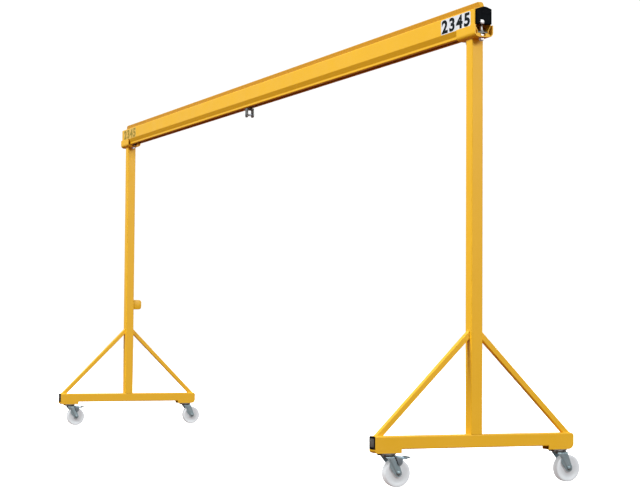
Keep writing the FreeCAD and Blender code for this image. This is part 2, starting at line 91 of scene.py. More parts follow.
def addAreaLight(name, setup):
    lamp = bpy.data.lights.new(name, "AREA")
    lamp.size = setup["size"]
    lamp.energy = setup["power"]
    light = bpy.data.objects.new(name, lamp)
    light.location = setup["place"]
    aim = Vector(setup["aim"]) - light.location
    light.rotation_euler = aim.to_track_quat("-Z", "Y").to_euler()
    bpy.context.scene.collection.objects.link(light)


def newMaterial(name):
    material = bpy.data.materials.new(name)
    material.use_nodes = True
    return material, material.node_tree, material.node_tree.nodes["Principled BSDF"]


def mixForCamera(tree, unseen, seen, surface):  # one shader as the camera sees it, one for its light
    path = tree.nodes.new("ShaderNodeLightPath")
    mix = tree.nodes.new("ShaderNodeMixShader")
    tree.links.new(path.outputs["Is Camera Ray"], mix.inputs[0])
    tree.links.new(unseen.outputs[0], mix.inputs[1])
    tree.links.new(seen.outputs[0], mix.inputs[2])
    tree.links.new(mix.outputs[0], surface)


def addWorld(setup):
    world = bpy.data.worlds.new("studio")
    world.use_nodes = True
    tree = world.node_tree
    sky = tree.nodes["Background"]
    sky.inputs["Color"].default_value = (1, 1, 1, 1)
    sky.inputs["Strength"].default_value = setup["skyStrength"]
    backdrop = tree.nodes.new("ShaderNodeBackground")
    backdrop.inputs["Color"].default_value = (1, 1, 1, 1)
    backdrop.inputs["Strength"].default_value = setup["backdropStrength"]
    mixForCamera(tree, sky, backdrop, tree.nodes["World Output"].inputs["Surface"])
    bpy.context.scene.world = world


def addFloor(setup):
    bm = bmesh.new()
    bmesh.ops.create_grid(bm, x_segments=1, y_segments=1, size=setup["floorSize"])
    mesh = bpy.data.meshes.new("floor")
    bm.to_mesh(mesh)
    bm.free()
    floor = bpy.data.objects.new("floor", mesh)
    bpy.context.scene.collection.objects.link(floor)
    material, tree, seen = newMaterial("paleFloor")
    seen.inputs["Base Color"].default_value = (*setup["floorSeen"], 1)
    seen.inputs["Roughness"].default_value = 1.0
    seen.inputs["Specular IOR Level"].default_value = 0.0
    seen.inputs["Emission Color"].default_value = (1, 1, 1, 1)
    seen.inputs["Emission Strength"].default_value = setup["floorGlow"]
    unseen = tree.nodes.new("ShaderNodeBsdfDiffuse")
    unseen.inputs["Color"].default_value = (*setup["floorTone"], 1)
    mixForCamera(tree, unseen, seen, tree.nodes["Material Output"].inputs["Surface"])
    mesh.materials.append(material)


addCamera(cameraSetup)
for lightName in ("key", "side", "back"):
    addAreaLight(lightName, lightSetup[lightName])
addWorld(lightSetup)
bpy.context.scene.view_settings.view_transform = "Standard"
addFloor(lightSetup)
print("camera, light and floor set")


# shared surface effects, each a node group

def newGroup(name, inputs, output, outputKind="NodeSocketFloat"):
    group = bpy.data.node_groups.new(name, "ShaderNodeTree")
    for label, kind, value in inputs:
        socket = group.interface.new_socket(label, in_out="INPUT", socket_type=kind)
        socket.default_value = value
    group.interface.new_socket(output, in_out="OUTPUT", socket_type=outputKind)
    start = group.nodes.new("NodeGroupInput")
    finish = group.nodes.new("NodeGroupOutput")
    return group, start, finish


def mathNode(tree, operation, first, second=None, clamp=False):
    node = tree.nodes.new("ShaderNodeMath")
    node.operation = operation
    node.use_clamp = clamp
    for slot, value in enumerate((first, second)):
        if value is None:
            continue
        if isinstance(value, (int, float)):
            node.inputs[slot].default_value = value
        else:
            tree.links.new(value, node.inputs[slot])
    return node.outputs[0]


def noiseNode(tree, scale, detail=3.0, roughness=0.5, stretch=None, vector=None):
    node = tree.nodes.new("ShaderNodeTexNoise")
    if vector is None:
        vector = tree.nodes.new("ShaderNodeTexCoord").outputs["Object"]
    if stretch is not None:
        mapping = tree.nodes.new("ShaderNodeMapping")
        mapping.inputs["Scale"].default_value = stretch
        tree.links.new(vector, mapping.inputs["Vector"])
        vector = mapping.outputs["Vector"]
    tree.links.new(vector, node.inputs["Vector"])
    if isinstance(scale, (int, float)):
        node.inputs["Scale"].default_value = scale
    else:
        tree.links.new(scale, node.inputs["Scale"])
    node.inputs["Detail"].default_value = detail
    node.inputs["Roughness"].default_value = roughness
    return node.outputs["Fac"]


def rangeNode(tree, value, low, high, toLow=0.0, toHigh=1.0):
    node = tree.nodes.new("ShaderNodeMapRange")
    node.interpolation_type = "SMOOTHSTEP"
    tree.links.new(value, node.inputs["Value"])
    for label, number in (("From Min", low), ("From Max", high), ("To Min", toLow), ("To Max", toHigh)):
        node.inputs[label].default_value = number
    return node.outputs["Result"]


def mixColor(tree, factor, first, second):
    node = tree.nodes.new("ShaderNodeMix")
    node.data_type = "RGBA"
    sockets = [s for s in node.inputs if s.type == "RGBA"]
    if isinstance(factor, (int, float)):
        node.inputs["Factor"].default_value = factor
    else:
        tree.links.new(factor, node.inputs["Factor"])
    for socket, value in zip(sockets, (first, second)):
        if isinstance(value, tuple):
            socket.default_value = (*value, 1)
        else:
            tree.links.new(value, socket)
    return next(s for s in node.outputs if s.type == "RGBA")


def makeToneGroup():  # slow drift of a colour between two tones
    inputs = [
        ("Tone A", "NodeSocketColor", (1, 1, 1, 1)),
        ("Tone B", "NodeSocketColor", (1, 1, 1, 1)),
        ("Scale", "NodeSocketFloat", 3.0),
    ]
    group, start, finish = newGroup("toneDrift", inputs, "Color", "NodeSocketColor")
    noise = noiseNode(group, start.outputs["Scale"], detail=4.0)
    drift = rangeNode(group, noise, 0.3, 0.7)
    color = mixColor(group, drift, start.outputs["Tone A"], start.outputs["Tone B"])
    group.links.new(color, finish.inputs["Color"])
    return group


def makeGrainGroup():  # fine texture height: orange peel, moulded grain, cast grain
    inputs = [("Scale", "NodeSocketFloat", 900.0), ("Fine Share", "NodeSocketFloat", 0.3)]
    group, start, finish = newGroup("surfaceGrain", inputs, "Height")
    coarse = noiseNode(group, start.outputs["Scale"], detail=2.0)
    fineScale = mathNode(group, "MULTIPLY", start.outputs["Scale"], 3.7)
    fine = noiseNode(group, fineScale, detail=1.0)
    fine = mathNode(group, "MULTIPLY", fine, start.outputs["Fine Share"])
    group.links.new(mathNode(group, "ADD", coarse, fine), finish.inputs["Height"])
    return group


def makeEdgeGroup():  # mask along worn edges
    inputs = [
        ("Width", "NodeSocketFloat", 0.0015),
        ("Amount", "NodeSocketFloat", 0.5),
        ("Patch Scale", "NodeSocketFloat", 40.0),
    ]
    group, start, finish = newGroup("edgeWear", inputs, "Mask")
    rounded = group.nodes.new("ShaderNodeBevel")
    rounded.samples = 3
    group.links.new(start.outputs["Width"], rounded.inputs["Radius"])
    geometry = group.nodes.new("ShaderNodeNewGeometry")
    dot = group.nodes.new("ShaderNodeVectorMath")
    dot.operation = "DOT_PRODUCT"
    group.links.new(rounded.outputs["Normal"], dot.inputs[0])
    group.links.new(geometry.outputs["Normal"], dot.inputs[1])
    turned = rangeNode(group, dot.outputs["Value"], 0.999, 0.86)
    patches = rangeNode(group, noiseNode(group, start.outputs["Patch Scale"], detail=5.0), 0.42, 0.62)
    mask = mathNode(group, "MULTIPLY", turned, patches)
    mask = mathNode(group, "MULTIPLY", mask, start.outputs["Amount"], clamp=True)
    group.links.new(mask, finish.inputs["Mask"])
    return group


def makeDustGroup():  # mask of dust that lies on top faces and near the floor
    inputs = [("Amount", "NodeSocketFloat", 0.3), ("Height", "NodeSocketFloat", 0.3)]
    group, start, finish = newGroup("settledDust", inputs, "Mask")
    geometry = group.nodes.new("ShaderNodeNewGeometry")
    split = group.nodes.new("ShaderNodeSeparateXYZ")
    group.links.new(geometry.outputs["Normal"], split.inputs[0])
    facing = rangeNode(group, split.outputs["Z"], 0.4, 0.95)
    place = group.nodes.new("ShaderNodeTexCoord")
    where = group.nodes.new("ShaderNodeSeparateXYZ")
    group.links.new(place.outputs["Object"], where.inputs[0])
    share = mathNode(group, "DIVIDE", where.outputs["Z"], start.outputs["Height"])
    low = mathNode(group, "SUBTRACT", 1.0, share, clamp=True)
    low = mathNode(group, "MULTIPLY", low, 0.5)
    cover = mathNode(group, "MAXIMUM", facing, low)
    cloud = rangeNode(group, noiseNode(group, 18.0, detail=6.0, roughness=0.65), 0.35, 0.75)
    mask = mathNode(group, "MULTIPLY", cover, cloud)
    mask = mathNode(group, "MULTIPLY", mask, start.outputs["Amount"], clamp=True)
    group.links.new(mask, finish.inputs["Mask"])
    return group


toneGroup = makeToneGroup()
grainGroup = makeGrainGroup()
edgeGroup = makeEdgeGroup()
dustGroup = makeDustGroup()


def useGroup(tree, group, **values):
    node = tree.nodes.new("ShaderNodeGroup")
    node.node_tree = group
    for label, value in values.items():
        socket = node.inputs[label.replace("_", " ")]
        socket.default_value = (*value, 1) if isinstance(value, tuple) else value
    return node.outputs[0]


# materials

paintGrain = {"grain": 520.0, "fine": 0.25, "bump": 0.0004, "bumpStrength": 0.35}
zincGrain = {"grain": 1600.0, "fine": 0.6, "bump": 0.0002, "bumpStrength": 0.3}
steelGrain = {"grain": 1500.0, "fine": 0.6, "bump": 0.0002, "bumpStrength": 0.3}
sheetGrain = {"grain": 700.0, "fine": 0.2, "bump": 0.0001, "bumpStrength": 0.2}
inkGrain = {"grain": 900.0, "fine": 0.2, "bump": 0.0001, "bumpStrength": 0.2}

finishes = {
    "yellowPaint": {
        "tones": ((0.89, 0.52, 0.019), (0.87, 0.505, 0.017)), "drift": 2.2, "roughness": (0.34, 0.44),
        **paintGrain, "specular": 0.28,
        "worn": (0.90, 0.56, 0.12), "wear": 0.25, "dust": 0.05, "dustColor": (0.72, 0.62, 0.42),
    },
    "blackPlastic": {
        "tones": ((0.001, 0.002, 0.004), (0.002, 0.004, 0.006)), "drift": 30.0, "roughness": (0.45, 0.6),
        "grain": 1400.0, "fine": 0.5, "bump": 0.0002, "bumpStrength": 0.3, "specular": 0.04,
        "worn": (0.01, 0.01, 0.012), "wear": 0.3, "dust": 0.01, "dustColor": (0.1, 0.1, 0.09),
    },
    # painted sheen: a lighter grey that stands in for a reflection on the cap's face
    "paintedSheenPlastic": {
        "tones": ((0.06, 0.062, 0.057), (0.11, 0.11, 0.10)), "drift": 30.0, "roughness": (0.3, 0.4),
        "grain": 1400.0, "fine": 0.5, "bump": 0.0001, "bumpStrength": 0.2, "specular": 0.15,
        "worn": (0.09, 0.09, 0.1), "wear": 0.3, "dust": 0.04, "dustColor": (0.1, 0.1, 0.09),
    },
    "brightZinc": {
        "tones": ((0.80, 0.83, 0.86), (0.72, 0.74, 0.76)), "drift": 45.0, "roughness": (0.3, 0.42),
        **zincGrain, "metallic": 0.35,
        "worn": (0.58, 0.6, 0.62), "wear": 0.4, "dust": 0.04, "dustColor": (0.3, 0.29, 0.27),
    },
    "zincPlate": {
        "tones": ((0.34, 0.39, 0.45), (0.44, 0.44, 0.43)), "drift": 45.0, "roughness": (0.3, 0.46),
        **zincGrain, "metallic": 0.9,
        "worn": (0.58, 0.6, 0.62), "wear": 0.6, "dust": 0.1, "dustColor": (0.3, 0.29, 0.27),
    },
    "pressedSteel": {
        "tones": ((0.225, 0.305, 0.335), (0.265, 0.34, 0.37)), "drift": 30.0, "roughness": (0.42, 0.55),
        **steelGrain, "metallic": 0.85,
        "worn": (0.36, 0.41, 0.44), "wear": 0.4, "dust": 0.08, "dustColor": (0.2, 0.2, 0.2),
    },
    "pedalSteel": {
        "tones": ((0.26, 0.37, 0.43), (0.29, 0.40, 0.46)), "drift": 30.0, "roughness": (0.42, 0.55),
        **steelGrain, "metallic": 0.6,
        "worn": (0.30, 0.34, 0.37), "wear": 0.4, "dust": 0.08, "dustColor": (0.2, 0.2, 0.2),
    },
    "darkSteel": {
        "tones": ((0.14, 0.155, 0.15), (0.18, 0.19, 0.185)), "drift": 25.0, "roughness": (0.38, 0.5),
        "grain": 900.0, "fine": 0.5, "bump": 0.0003, "bumpStrength": 0.35, "metallic": 0.4,
        "worn": (0.4, 0.41, 0.41), "wear": 0.8, "dust": 0.1, "dustColor": (0.25, 0.24, 0.22),
    },
    "bufferRubber": {
        "tones": ((0.02, 0.02, 0.021), (0.032, 0.031, 0.03)), "drift": 40.0, "roughness": (0.7, 0.85),
        "grain": 1100.0, "fine": 0.8, "bump": 0.0004, "bumpStrength": 0.5,
        "worn": (0.07, 0.07, 0.07), "wear": 0.4, "dust": 0.2, "dustColor": (0.2, 0.19, 0.17),
    },
    "labelWhite": {
        "tones": ((0.76, 0.83, 0.88), (0.72, 0.79, 0.84)), "drift": 25.0, "roughness": (0.3, 0.4),
        **sheetGrain,
        "worn": (0.6, 0.6, 0.58), "wear": 0.3, "dust": 0.12, "dustColor": (0.5, 0.46, 0.36),
    },
    "labelInk": {
        "tones": ((0.003, 0.008, 0.010), (0.006, 0.012, 0.015)), "drift": 60.0, "roughness": (0.5, 0.6),
        **inkGrain, "specular": 0.1,
        "worn": (0.1, 0.1, 0.1), "wear": 0.2, "dust": 0.02, "dustColor": (0.3, 0.29, 0.27),
    },
    "labelFaded": {  # the far label has yellowed to nearly the colour of the paint
        "tones": ((0.80, 0.52, 0.09), (0.74, 0.48, 0.08)), "drift": 25.0, "roughness": (0.4, 0.5),
        **sheetGrain,
        "worn": (0.6, 0.5, 0.3), "wear": 0.3, "dust": 0.12, "dustColor": (0.5, 0.42, 0.2),
    },
    "inkFaded": {
        "tones": ((0.30, 0.235, 0.035), (0.36, 0.27, 0.04)), "drift": 60.0, "roughness": (0.5, 0.6),
        **inkGrain, "specular": 0.1,
        "worn": (0.4, 0.3, 0.1), "wear": 0.2, "dust": 0.02, "dustColor": (0.4, 0.3, 0.1),
    },
}


edgeLook = {"width": 0.0014, "patches": 55.0}
dustLook = {"height": 0.35, "roughness": 0.4}
# painted shade: the rib along the top of the rail is painted a darker amber
paintedRibShade = {"height": 0.037, "blend": 0.001, "share": 0.55, "tone": (0.36, 0.15, 0.008)}


def addBump(tree, shader, height, look):
    bump = tree.nodes.new("ShaderNodeBump")
    bump.inputs["Strength"].default_value = look["bumpStrength"]
    bump.inputs["Distance"].default_value = look["bump"]
    tree.links.new(height, bump.inputs["Height"])
    tree.links.new(bump.outputs["Normal"], shader.inputs["Normal"])


def makeFinish(name, look, paintedShadeAbove=None):  # the height above which the paint is darkened by painted shade
    material, tree, shader = newMaterial(name)
    first, second = look["tones"]
    tone = useGroup(tree, toneGroup, Tone_A=first, Tone_B=second, Scale=look["drift"])
    wear = useGroup(
        tree, edgeGroup, Width=edgeLook["width"], Amount=look["wear"], Patch_Scale=edgeLook["patches"])
    dust = useGroup(tree, dustGroup, Amount=look["dust"], Height=dustLook["height"])
    color = mixColor(tree, wear, tone, look["worn"])
    # painted shade: above this height the rib's paint turns darker
    if paintedShadeAbove:
        split = tree.nodes.new("ShaderNodeSeparateXYZ")
        tree.links.new(tree.nodes.new("ShaderNodeTexCoord").outputs["Object"], split.inputs[0])
        start, stop = paintedShadeAbove - paintedRibShade["blend"], paintedShadeAbove + paintedRibShade["blend"]
        paintedShadeMask = rangeNode(tree, split.outputs["Z"], start, stop, 0.0, paintedRibShade["share"])
        color = mixColor(tree, paintedShadeMask, color, paintedRibShade["tone"])
    color = mixColor(tree, dust, color, look["dustColor"])
    tree.links.new(color, shader.inputs["Base Color"])
    low, high = look["roughness"]
    sheen = rangeNode(tree, noiseNode(tree, look["drift"] * 3.1, detail=4.0), 0.3, 0.7, low, high)
    dull = mathNode(tree, "MULTIPLY", dust, dustLook["roughness"])
    rough = mathNode(tree, "ADD", sheen, dull, clamp=True)
    tree.links.new(rough, shader.inputs["Roughness"])
    shader.inputs["Metallic"].default_value = look.get("metallic", 0.0)
    shader.inputs["Specular IOR Level"].default_value = look.get("specular", 0.5)
    addBump(tree, shader, useGroup(tree, grainGroup, Scale=look["grain"], Fine_Share=look["fine"]), look)
    return material


nylonLook = {
    "tones": ((0.50, 0.55, 0.58), (0.45, 0.50, 0.53)), "drift": 22.0, "roughness": (0.36, 0.52),
    # painted glow: emitted light that brightens the wheel, more toward the rim
    "paintedGlow": ((0.15, 0.155, 0.16), (0.31, 0.325, 0.335)), "paintedGlowStrength": 1.0,
    "scuff": (0.55, 0.54, 0.52), "scuffShare": 0.4, "scuffScale": 130.0,
    "dust": 0.12, "dustHeight": 0.2, "dustColor": (0.45, 0.42, 0.36), "sheenScale": 60.0,
    "grain": 800.0, "fine": 0.4, "bump": 0.0004, "bumpStrength": 0.3,
}


def makeNylon(name, look):  # moulded nylon, scuffed where the tread attribute says, with a painted glow brighter toward the rim
    material, tree, shader = newMaterial(name)
    first, second = look["tones"]
    tone = useGroup(tree, toneGroup, Tone_A=first, Tone_B=second, Scale=look["drift"])
    tread = tree.nodes.new("ShaderNodeAttribute")
    tread.attribute_name = "tread"
    marks = rangeNode(tree, noiseNode(tree, look["scuffScale"], detail=6.0, roughness=0.7), 0.38, 0.66)
    scuff = mathNode(tree, "MULTIPLY", tread.outputs["Fac"], marks)
    scuff = mathNode(tree, "MULTIPLY", scuff, look["scuffShare"])
    dust = useGroup(tree, dustGroup, Amount=look["dust"], Height=look["dustHeight"])
    color = mixColor(tree, scuff, tone, look["scuff"])
    color = mixColor(tree, dust, color, look["dustColor"])
    tree.links.new(color, shader.inputs["Base Color"])
    # the rim attribute masks the painted glow
    rim = tree.nodes.new("ShaderNodeAttribute")
    rim.attribute_name = "rim"
    inner, outer = look["paintedGlow"]
    paintedGlow = mixColor(tree, rim.outputs["Fac"], inner, outer)  # painted glow, emitted light that grows toward the rim
    tree.links.new(paintedGlow, shader.inputs["Emission Color"])
    shader.inputs["Emission Strength"].default_value = look["paintedGlowStrength"]
    low, high = look["roughness"]
    sheen = rangeNode(tree, noiseNode(tree, look["sheenScale"], detail=4.0), 0.3, 0.7, low, high)
    rough = mathNode(tree, "ADD", sheen, mathNode(tree, "MULTIPLY", scuff, 0.4), clamp=True)
    tree.links.new(rough, shader.inputs["Roughness"])
    grain = useGroup(tree, grainGroup, Scale=look["grain"], Fine_Share=look["fine"])
    addBump(tree, shader, mathNode(tree, "ADD", grain, scuff), look)
    return material


materials = {name: makeFinish(name, look) for name, look in finishes.items()}
materials["nylon"] = makeNylon("nylon", nylonLook)
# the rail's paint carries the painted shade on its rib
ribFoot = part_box("rail_beam")[1].z - paintedRibShade["height"]
materials["railPaintWithRibShade"] = makeFinish("railPaintWithRibShade", finishes["yellowPaint"], paintedShadeAbove=ribFoot)
slotMaterials = {
    "yellow_paint": "yellowPaint",
    "black_plastic": "blackPlastic",
    "zinc_steel": "zincPlate",
    "nylon_wheel": "nylon",
    "dark_steel": "darkSteel",
    "rubber_buffer": "bufferRubber",
}
for part in frame["record"]["subparts"]:
    node = nodes[part["node"]]
    node.data.materials.clear()
    finish = "railPaintWithRibShade" if part["node"] == "rail_beam" else slotMaterials[part["material_slot"]]
    node.data.materials.append(materials[finish])
print("materials made:", len(materials))


# shapes made with mesh operators

def turnTo(direction):
    return Vector(direction).to_track_quat("Z", "Y").to_matrix().to_4x4()


def addBox(bm, low, high, edge=0.0, segments=2):
    low, high = Vector(low), Vector(high)
    size = high - low
    scale = Matrix.Diagonal((*size, 1))
    made = bmesh.ops.create_cube(bm, size=1, matrix=Matrix.Translation((low + high) / 2) @ scale)
    if edge:
        edges = list({e for v in made["verts"] for e in v.link_edges})
        bevelEdges(bm, edges, edge, segments)


def bevelEdges(bm, edges, offset, segments=2):
    bmesh.ops.bevel(
        bm, geom=edges, offset=offset, segments=segments, profile=0.5, affect="EDGES", material=-1)


def addRod(bm, start, end, radius, segments=32, edge=0.0, endRadius=None):
    start, end = Vector(start), Vector(end)
    run = end - start
    place = Matrix.Translation((start + end) / 2) @ turnTo(run)
    made = bmesh.ops.create_cone(
        bm, cap_ends=True, segments=segments, radius1=radius,
        radius2=radius if endRadius is None else endRadius, depth=run.length, matrix=place)
    if edge:
        rims = [e for e in {e for v in made["verts"] for e in v.link_edges}
                if any(len(f.verts) == segments for f in e.link_faces)]
        bevelEdges(bm, rims, edge)


def addHex(bm, start, end, acrossFlats, edge=0.0008):
    addRod(bm, start, end, acrossFlats / 2 / math.cos(math.radians(30)), segments=6, edge=edge)


def addProfile(bm, points, closed=True):
    verts = [bm.verts.new(p) for p in points]
    pairs = zip(verts, verts[1:] + verts[:1]) if closed else zip(verts, verts[1:])
    return verts, [bm.edges.new(p) for p in pairs]


def addLathe(bm, profile, centre, axis, segments=48):  # profile: (radius, along) pairs
    place = Matrix.Translation(centre) @ turnTo(axis)
    points = [place @ Vector((radius, 0, along)) for radius, along in profile]
    verts, edges = addProfile(bm, points, closed=False)
    bmesh.ops.spin(
        bm, geom=verts + edges, cent=centre, axis=place.to_3x3() @ Vector((0, 0, 1)),
        angle=math.tau, steps=segments, use_merge=True)


def addPlate(bm, outline, low, high, edge=0.0, segments=2):  # (y, z) outline swept along X
    verts, edges = addProfile(bm, [(low, y, z) for y, z in outline])
    face = bmesh.ops.contextual_create(bm, geom=edges)["faces"]
    grown = bmesh.ops.extrude_face_region(bm, geom=face)["geom"]
    moved = [g for g in grown if isinstance(g, bmesh.types.BMVert)]
    bmesh.ops.translate(bm, verts=moved, vec=(high - low, 0, 0))
    faces = list({f for v in verts + moved for f in v.link_faces})
    bmesh.ops.recalc_face_normals(bm, faces=faces)
    if edge:
        rims = [e for e in {e for f in faces for e in f.edges} if e.calc_face_angle(0) > 0.3]
        bevelEdges(bm, rims, edge, segments)


def extrudeEdges(bm, edges, step):  # the new edges, moved on by one step
    grown = bmesh.ops.extrude_edge_only(bm, edges=edges)["geom"]
    verts = [g for g in grown if isinstance(g, bmesh.types.BMVert)]
    bmesh.ops.translate(bm, verts=verts, vec=step)
    return verts, [g for g in grown if isinstance(g, bmesh.types.BMEdge)]


beadShape = {"pitch": 0.005, "sides": 8, "end": 0.5, "crest": 1.0, "valley": 0.84}


def addBead(bm, start, end, radius):  # weld bead with ripples
    start, end = Vector(start), Vector(end)
    run = end - start
    count = max(2, round(run.length / beadShape["pitch"] * 2))
    place = Matrix.Translation(start) @ turnTo(run)
    share = beadShape["end"]
    ring = bmesh.ops.create_circle(
        bm, cap_ends=True, segments=beadShape["sides"], radius=radius * share, matrix=place)
    edges = list({e for v in ring["verts"] for e in v.link_edges})
    centre = start
    for step in range(1, count + 1):
        verts, edges = extrudeEdges(bm, edges, run / count)
        centre = centre + run / count
        wanted = beadShape["end" if step == count else "crest" if step % 2 else "valley"]
        scale = Matrix.Diagonal((wanted / share,) * 3 + (1,))
        around = Matrix.Translation(centre) @ scale @ Matrix.Translation(-centre)
        bmesh.ops.transform(bm, matrix=around, verts=verts)
        share = wanted
    bmesh.ops.contextual_create(bm, geom=edges)


def finishPiece(name, bm, material, body, replaced=(), bevel=0.0, smooth=35):
    bmesh.ops.remove_doubles(bm, verts=bm.verts, dist=1e-6)
    bmesh.ops.recalc_face_normals(bm, faces=bm.faces)
    mesh = bpy.data.meshes.new(name)
    bm.to_mesh(mesh)
    bm.free()
    mesh.materials.append(materials[material])
    mesh.shade_smooth()
    mesh.set_sharp_from_angle(angle=math.radians(smooth))
    piece = bpy.data.objects.new(name, mesh)
    bpy.context.scene.collection.objects.link(piece)
    if bevel:
        rounding = piece.modifiers.new("rounding", "BEVEL")
        rounding.width = bevel
        rounding.segments = 2
        rounding.limit_method = "ANGLE"
        rounding.angle_limit = math.radians(40)
    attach(piece, body)
    if replaced:
        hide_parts(*replaced)
    return piece


def middleOf(node):
    low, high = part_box(node)
    return (low + high) / 2


# welds on the frame

cleatSizes = {"corner": 0.023, "cornerSteps": 8, "wall": 0.004, "edge": 0.0006, "rimShare": 0.9}


def makeCleat():  # the cable cleat with its corners rounded off
    low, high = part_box("cable_cleat")
    radius, wall, steps = (cleatSizes[k] for k in ("corner", "wall", "cornerSteps"))
    spots = [(low.y, low.z)]
    for z, start in ((low.z + radius, -90), (high.z - radius, 0)):
        for i in range(steps + 1):
            angle = math.radians(start + 90 * i / steps)
            spots.append((high.y - radius + radius * math.cos(angle), z + radius * math.sin(angle)))
    spots.append((low.y, high.z))
    bm = bmesh.new()
    for x in (low.x, high.x - wall):
        addPlate(bm, spots, x, x + wall, edge=cleatSizes["edge"])
    middle = (low.z + high.z) / 2
    inner = [(y - wall if y > low.y else y, z + (wall if z < middle else -wall) * cleatSizes["rimShare"])
             for y, z in reversed(spots)]
    addPlate(bm, spots + inner, low.x + wall * 0.5, high.x - wall * 0.5)
    finishPiece("cleatPlate", bm, "yellowPaint", "frame", ["cable_cleat"])


weldSizes = {
    "column": 0.0035, "brace": 0.0028, "pad": 0.0024, "cleat": 0.0025,  # bead radii
    "corner": 0.006, "saddleFloor": 0.0105, "braceSide": 0.032, "padLength": 0.159, "cleatInset": 0.003,
    "seamBelow": 0.006, "seamAbove": 0.0085, "seamInset": 0.006, "seamDepth": 0.003, "seamProud": 0.0003,
}


def addRing(bm, corners, radius):
    for first, second in zip(corners, corners[1:] + corners[:1]):
        addBead(bm, first, second, radius)


def addColumnWelds(bm, side):
    low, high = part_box(f"column_{side}")
    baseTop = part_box(f"base_tube_{side}")[1].z
    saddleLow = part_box(f"saddle_{side}")[0].z
    saddleFloor = saddleLow + weldSizes["saddleFloor"]
    corner, radius = weldSizes["corner"], weldSizes["column"]
    for y in (low.y, high.y):  # foot
        addBead(bm, (low.x + corner, y, baseTop), (high.x - corner, y, baseTop), radius)
    for x in (low.x, high.x):  # top under the saddle
        addBead(bm, (x, low.y + corner, saddleLow), (x, high.y - corner, saddleLow), radius)
    for y in (low.y, high.y):
        addBead(bm, (low.x + corner, y, saddleFloor), (high.x - corner, y, saddleFloor), radius)


def addBraceWelds(bm, side):
    columnLow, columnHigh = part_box(f"column_{side}")
    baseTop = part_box(f"base_tube_{side}")[1].z
    wide = weldSizes["braceSide"] * math.sqrt(2)
    radius = weldSizes["brace"]
    for end, sign in ends.items():
        low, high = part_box(f"brace_{side}_{end}")
        outer = low.y if sign < 0 else high.y
        inner = columnHigh.y if sign > 0 else columnLow.y
        foot, head = outer - sign * wide, high.z - wide
        addRing(bm, [(low.x, outer, baseTop), (high.x, outer, baseTop),
                     (high.x, foot, baseTop), (low.x, foot, baseTop)], radius)
        addRing(bm, [(low.x, inner, high.z), (high.x, inner, high.z),
                     (high.x, inner, head), (low.x, inner, head)], radius)


def addPadWelds(bm, side):
    low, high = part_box(f"base_tube_{side}")
    padReach = max(abs(c.y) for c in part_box(f"caster_pads_{side}"))
    corner, proud, depth = (weldSizes[k] for k in ("corner", "seamProud", "seamDepth"))
    bottom, top = low.z - weldSizes["seamBelow"], low.z + weldSizes["seamAbove"]
    for sign in ends.values():
        inner = sign * (padReach - weldSizes["padLength"])
        addBead(bm, (low.x + corner, inner, low.z), (high.x - corner, inner, low.z), weldSizes["pad"])
        first, last = sorted((inner, sign * (high.y - weldSizes["seamInset"])))
        strip = [(first, bottom), (last, bottom), (last, top), (first, top)]
        addPlate(bm, strip, low.x - proud, low.x + depth)  # filled and ground seam of pad and tube
        addPlate(bm, strip, high.x - depth, high.x + proud)


def addCleatWelds(bm):
    low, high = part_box("cable_cleat")
    inset = weldSizes["cleatInset"]
    for x in (low.x, high.x):
        addBead(bm, (x, low.y, low.z + inset), (x, low.y, high.z - inset), weldSizes["cleat"])


def makeWelds(side):
    bm = bmesh.new()
    addColumnWelds(bm, side)
    addBraceWelds(bm, side)
    addPadWelds(bm, side)
    if side == "left":
        addCleatWelds(bm)
    finishPiece(f"welds_{side}", bm, "yellowPaint", "frame")


makeCleat()
for side in sides:
    makeWelds(side)
print("welds made")


# casters

casterSizes = {
    "plateThickness": 0.005, "plateCorner": 0.008, "boltAcross": 0.013, "boltInset": (0.010, 0.010),
    "boltWasher": 0.0015, "boltHead": 0.006, "washerShare": 0.62,
    "raceRadius": 0.037, "raceWaist": 0.0355, "raceHeight": 0.009,
    "kingPin": 0.006, "kingNut": 0.007, "kingNutAcross": 0.022,
    "forkHalf": 0.0315, "forkThickness": 0.0035, "forkBend": 0.009, "bendSteps": 5, "gridStep": 0.004,
    "gridRows": 20, "crownFront": 0.017, "crownBack": 0.050, "frontShoulder": 0.006, "backShoulder": 0.012,
    "frontWaist": [(0.009, 0.036), (0.008, 0.060)], "footRadius": 0.0205, "footSteps": 12,
    "rib": 0.0012, "ribHalf": 0.013, "ribFlat": 0.6, "ribTop": (0.014, 0.010),
    "axle": 0.006, "axleAcross": 0.019, "axleWasher": 0.0012, "boltEnd": 0.0052, "trail": 0.057,
}


